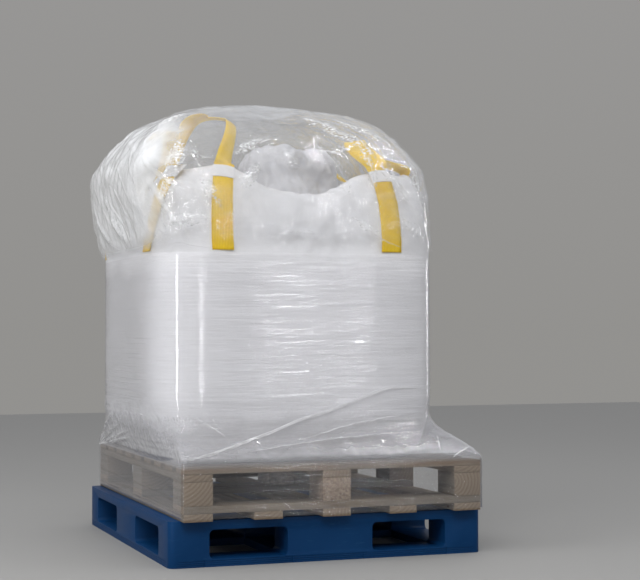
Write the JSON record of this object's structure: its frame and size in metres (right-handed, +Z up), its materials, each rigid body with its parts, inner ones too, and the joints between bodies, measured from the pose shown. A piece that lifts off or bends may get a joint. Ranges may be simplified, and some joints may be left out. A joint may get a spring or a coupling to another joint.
{
  "type": "palletised bulk bag",
  "caption": "Large woven bulk bag of goods with webbing lift loops on stacked wooden and plastic pallets, under a clear film hood and stretch wrap.",
  "frame": {"origin": "centre of the plastic pallet's underside, on the floor", "axes": "+Z up, +X to the right along the front, +Y from the front to the rear"},
  "size_m": [1.1812, 1.3112, 1.56],
  "materials": {
    "pallet_plastic": "blue moulded polyethylene, satin, scuffed",
    "timber": "rough sawn softwood, weathered beige grey",
    "chipboard": "pressed wood chips, brown and speckled",
    "woven_fabric": "white woven tape fabric, slight sheen",
    "webbing": "golden yellow woven webbing with stitching",
    "hood_film": "clear creased polyethylene sheet, glossy",
    "wrap_film": "clear stretch film in many thin layers, ridged and glossy"
  },
  "bodies": {
    "root": {"plastic_pallet": "pallet_plastic", "bottom_board_1": "timber", "bottom_board_2": "timber", "bottom_board_3": "timber", "bottom_board_4": "timber", "bottom_board_5": "timber", "lower_stringer_front": "timber", "lower_stringer_middle": "timber", "lower_stringer_rear": "timber", "block_front_left": "timber", "block_front_centre": "chipboard", "block_front_right": "timber", "block_middle_left": "timber", "block_middle_centre": "chipboard", "block_middle_right": "timber", "block_rear_left": "timber", "block_rear_centre": "chipboard", "block_rear_right": "timber", "upper_stringer_left": "timber", "upper_stringer_centre": "timber", "upper_stringer_right": "timber", "deck_board_1": "timber", "deck_board_2": "timber", "deck_board_3": "timber", "deck_board_4": "timber", "deck_board_5": "timber", "deck_board_6": "timber", "deck_board_7": "timber", "deck_board_8": "timber", "deck_board_9": "timber", "bulk_bag": "woven_fabric", "top_skirt": "woven_fabric", "lift_loop_front_left": "webbing", "loop_sleeve_front_left_1": "woven_fabric", "loop_sleeve_front_left_2": "woven_fabric", "lift_loop_front_right": "webbing", "loop_sleeve_front_right_1": "woven_fabric", "loop_sleeve_front_right_2": "woven_fabric", "lift_loop_rear_left": "webbing", "loop_sleeve_rear_left_1": "woven_fabric", "loop_sleeve_rear_left_2": "woven_fabric", "lift_loop_rear_right": "webbing", "loop_sleeve_rear_right_1": "woven_fabric", "loop_sleeve_rear_right_2": "woven_fabric", "cover_hood": "hood_film", "stretch_wrap": "wrap_film"}
  },
  "joints": []
}
